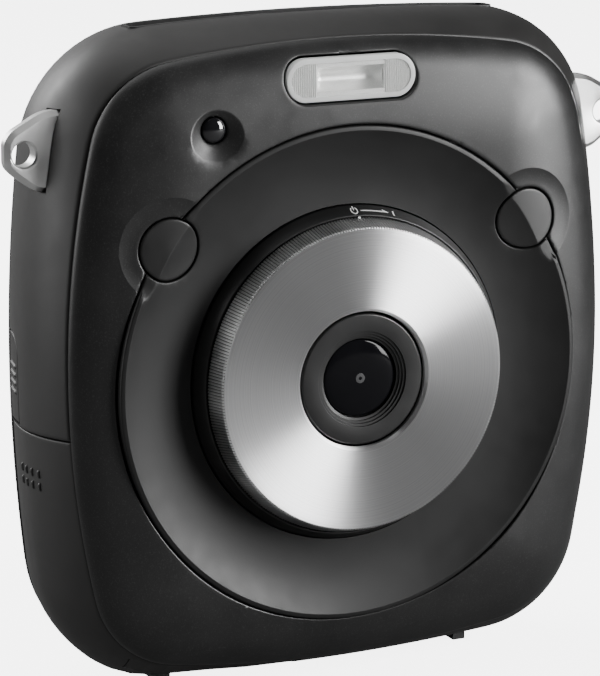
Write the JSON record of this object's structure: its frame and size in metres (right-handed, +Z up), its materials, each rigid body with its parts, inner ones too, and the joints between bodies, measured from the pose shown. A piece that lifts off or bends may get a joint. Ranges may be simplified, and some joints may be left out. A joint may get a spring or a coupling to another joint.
{
  "type": "instant camera",
  "caption": "Square-format hybrid instant camera with a turning lens ring, front shutter buttons, a print slot in the top and a hinged film door with a screen.",
  "frame": {"origin": "on the ground under the middle of the bounding box", "axes": "+Z up, the lens looks along -Y, +X is to the right seen from the front"},
  "size_m": [0.128, 0.047, 0.1277],
  "materials": {
    "body_black": "fine grained black moulding",
    "satin_black": "smooth satin black",
    "spun_metal": "circularly spun, knurled edge",
    "chrome": "bright plated",
    "inner_plastic": "moulded black",
    "clear_plastic": "clear, ridged or domed",
    "glass": "coated",
    "rubber": "matte",
    "board_green": "circuit board laminate",
    "steel": "stamped",
    "brass": "turned",
    "cell_grey": "shrink-wrapped cell",
    "gear_white": "moulded"
  },
  "bodies": {
    "camera": {"front_cover": "body_black", "mid_shell": "body_black", "bottom_cover": "body_black", "dish_ring": "satin_black", "lens_bezel": "satin_black", "name_ring": "satin_black", "strap_lug_left": "chrome", "strap_lug_right": "chrome", "flash_reflector": "chrome", "chassis": "inner_plastic", "film_pack": "inner_plastic", "lens_tube": "inner_plastic", "aperture_plate": "inner_plastic", "exposure_head": "inner_plastic", "flash_window": "clear_plastic", "assist_lamp_lens": "clear_plastic", "front_glass": "glass", "image_sensor": "glass", "flash_tube": "glass", "foot_left": "rubber", "foot_right": "rubber", "main_board": "board_green", "hinge_pin": "steel", "eject_motor": "steel", "transfer_shaft": "steel", "roller_plate_left": "steel", "roller_plate_right": "steel", "usb_socket": "steel", "tripod_socket": "brass", "battery": "cell_grey", "flash_capacitor": "cell_grey"},
    "power_ring": {"lens_ring": "spun_metal"},
    "shutter_left": {"shutter_button_left": "satin_black"},
    "shutter_right": {"shutter_button_right": "satin_black"},
    "film_door": {"rear_door": "body_black", "screen_glass": "glass", "screen_panel": "steel", "pressure_plate": "inner_plastic"},
    "control_dial": {"control_dial": "satin_black"},
    "arrow_pad": {"arrow_pad": "satin_black"},
    "ok_button": {"ok_button": "satin_black"},
    "filter_key": {"filter_button": "satin_black"},
    "vignette_key": {"vignette_button": "satin_black"},
    "brightness_key": {"brightness_button": "satin_black"},
    "play_key": {"play_button": "satin_black"},
    "print_key": {"print_button": "satin_black"},
    "return_key": {"return_button": "satin_black"},
    "door_latch": {"door_latch": "satin_black"},
    "side_flap": {"side_flap": "body_black"},
    "battery_cover": {"battery_cover": "body_black"},
    "drive_roller": {"drive_roller": "rubber", "drive_gear": "gear_white"},
    "pinch_roller": {"pinch_roller": "rubber", "pinch_gear": "gear_white"},
    "transfer_gear": {"transfer_gear": "gear_white"},
    "motor_pinion": {"motor_pinion": "brass"},
    "film_claw": {"film_claw": "steel"},
    "slot_flap": {"slot_flap": "inner_plastic"},
    "focus_group": {"focus_barrel": "inner_plastic", "focus_lens": "glass"}
  },
  "joints": [
    {"name": "lens_ring_turn", "type": "hinge", "parent": "camera", "child": "power_ring", "pos_m": [0, 0, 0.061], "axis": [0, 1, 0], "range_deg": [0, 15], "stiffness_Nm_per_rad": 0.1},
    {"name": "shutter_left_press", "type": "slide", "parent": "camera", "child": "shutter_left", "axis": [0, 1, 0], "range_m": [0, 0.001], "stiffness_N_per_m": 600},
    {"name": "shutter_right_press", "type": "slide", "parent": "camera", "child": "shutter_right", "axis": [0, 1, 0], "range_m": [0, 0.001], "stiffness_N_per_m": 600},
    {"name": "film_door_swing", "type": "hinge", "parent": "camera", "child": "film_door", "pos_m": [0.0579, 0.009, 0.08], "axis": [0, 0, -1], "range_deg": [0, 100]},
    {"name": "control_dial_turn", "type": "hinge", "parent": "film_door", "child": "control_dial", "pos_m": [0, 0.022, 0.032], "axis": [0, 1, 0], "continuous": true},
    {"name": "arrow_pad_press", "type": "slide", "parent": "film_door", "child": "arrow_pad", "axis": [0, -1, 0], "range_m": [0, 0.0004], "stiffness_N_per_m": 600},
    {"name": "ok_press", "type": "slide", "parent": "film_door", "child": "ok_button", "axis": [0, -1, 0], "range_m": [0, 0.0005], "stiffness_N_per_m": 600},
    {"name": "filter_press", "type": "slide", "parent": "film_door", "child": "filter_key", "axis": [0, -1, 0], "range_m": [0, 0.0005], "stiffness_N_per_m": 600},
    {"name": "vignette_press", "type": "slide", "parent": "film_door", "child": "vignette_key", "axis": [0, -1, 0], "range_m": [0, 0.0005], "stiffness_N_per_m": 600},
    {"name": "brightness_press", "type": "slide", "parent": "film_door", "child": "brightness_key", "axis": [0, -1, 0], "range_m": [0, 0.0005], "stiffness_N_per_m": 600},
    {"name": "play_press", "type": "slide", "parent": "film_door", "child": "play_key", "axis": [0, -1, 0], "range_m": [0, 0.0005], "stiffness_N_per_m": 600},
    {"name": "print_press", "type": "slide", "parent": "film_door", "child": "print_key", "axis": [0, -1, 0], "range_m": [0, 0.0005], "stiffness_N_per_m": 600},
    {"name": "return_press", "type": "slide", "parent": "film_door", "child": "return_key", "axis": [0, -1, 0], "range_m": [0, 0.0005], "stiffness_N_per_m": 600},
    {"name": "door_latch_slide", "type": "slide", "parent": "film_door", "child": "door_latch", "axis": [0, 0, -1], "range_m": [0, 0.003], "stiffness_N_per_m": 200},
    {"name": "side_flap_swing", "type": "hinge", "parent": "camera", "child": "side_flap", "pos_m": [-0.0594, 0.0044, 0.0533], "axis": [0, -1, 0], "range_deg": [0, 90]},
    {"name": "battery_cover_swing", "type": "hinge", "parent": "camera", "child": "battery_cover", "pos_m": [-0.025, -0.0028, 0.0012], "axis": [1, 0, 0], "range_deg": [0, 85]},
    {"name": "drive_roller_turn", "type": "hinge", "parent": "camera", "child": "drive_roller", "pos_m": [0, -0.00255, 0.1138], "axis": [1, 0, 0], "continuous": true},
    {"name": "pinch_roller_turn", "type": "hinge", "parent": "camera", "child": "pinch_roller", "pos_m": [0, 0.00295, 0.1138], "axis": [1, 0, 0], "continuous": true},
    {"name": "transfer_gear_turn", "type": "hinge", "parent": "camera", "child": "transfer_gear", "pos_m": [0, -0.0063, 0.10645], "axis": [1, 0, 0], "continuous": true},
    {"name": "motor_pinion_turn", "type": "hinge", "parent": "camera", "child": "motor_pinion", "pos_m": [0, -0.00999, 0.09907], "axis": [1, 0, 0], "continuous": true},
    {"name": "film_claw_lift", "type": "slide", "parent": "camera", "child": "film_claw", "axis": [0, 0, 1], "range_m": [0, 0.008], "stiffness_N_per_m": 40},
    {"name": "slot_flap_swing", "type": "hinge", "parent": "camera", "child": "slot_flap", "pos_m": [0, 0.0032, 0.1202], "axis": [-1, 0, 0], "range_deg": [0, 70], "stiffness_Nm_per_rad": 0.004},
    {"name": "focus_travel", "type": "slide", "parent": "camera", "child": "focus_group", "axis": [0, -1, 0], "range_m": [0, 0.0009]}
  ],
  "couplings": [
    {"joint": "pinch_roller_turn", "follows": "drive_roller_turn", "ratio": -1},
    {"joint": "transfer_gear_turn", "follows": "drive_roller_turn", "ratio": -0.5},
    {"joint": "motor_pinion_turn", "follows": "drive_roller_turn", "ratio": 1}
  ]
}
